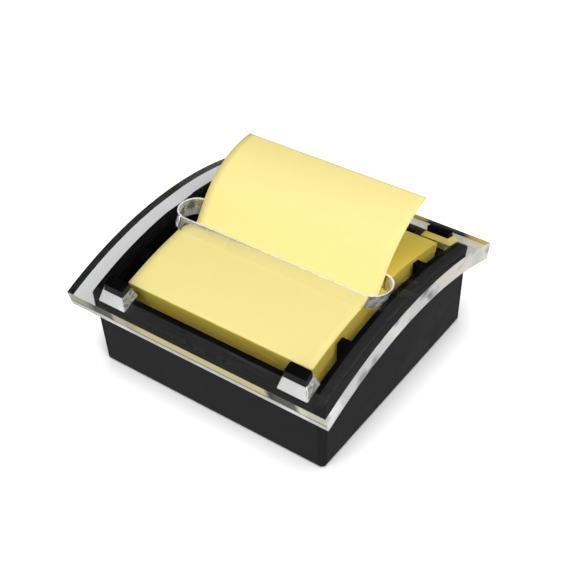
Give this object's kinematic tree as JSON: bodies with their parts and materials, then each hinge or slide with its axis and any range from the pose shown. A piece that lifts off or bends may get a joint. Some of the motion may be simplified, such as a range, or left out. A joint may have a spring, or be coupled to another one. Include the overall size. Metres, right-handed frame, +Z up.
{
  "type": "sticky note dispenser",
  "caption": "Weighted black desk base that holds a square pad of sticky notes under a thick clear arched cover; the top sheet comes up through a round-ended slot.",
  "frame": {"origin": "on the table under the middle of the base", "axes": "+X along the front edge to the right, +Y from the front to the back, +Z up"},
  "size_m": [0.106, 0.1022, 0.0589],
  "materials": {
    "black_plastic": "black moulded plastic, satin, fine even grain",
    "clear_acrylic": "clear acrylic, polished faces and satin walls in the slot and the pockets",
    "yellow_paper": "uncoated pale yellow note paper",
    "grey_card": "uncoated grey-brown card",
    "ballast_steel": "plain sheared steel plate",
    "screw_steel": "zinc plated",
    "foot_rubber": "black rubber, matt"
  },
  "bodies": {
    "base": {"side_shell": "black_plastic", "pad_tray": "black_plastic", "base_plate": "black_plastic", "cover_post_front_left": "black_plastic", "cover_post_front_right": "black_plastic", "cover_post_back_left": "black_plastic", "cover_post_back_right": "black_plastic", "ballast_weight": "ballast_steel", "ballast_screw_front": "screw_steel", "ballast_screw_back": "screw_steel", "base_screw_front_left": "screw_steel", "base_screw_front_right": "screw_steel", "base_screw_back_left": "screw_steel", "base_screw_back_right": "screw_steel", "foot_front_left": "foot_rubber", "foot_front_right": "foot_rubber", "foot_back_left": "foot_rubber", "foot_back_right": "foot_rubber", "backing_card": "grey_card", "note_pad": "yellow_paper"},
    "cover": {"clear_cover": "clear_acrylic", "sheet_tail": "yellow_paper"},
    "raised_note": {"popped_note": "yellow_paper"}
  },
  "joints": [
    {"name": "cover_lift", "type": "slide", "parent": "base", "child": "cover", "axis": [0, 0, 1], "range_m": [0, 0.045]},
    {"name": "note_pull", "type": "slide", "parent": "cover", "child": "raised_note", "axis": [0, 0.6018, 0.7986], "range_m": [0, 0.03]}
  ]
}
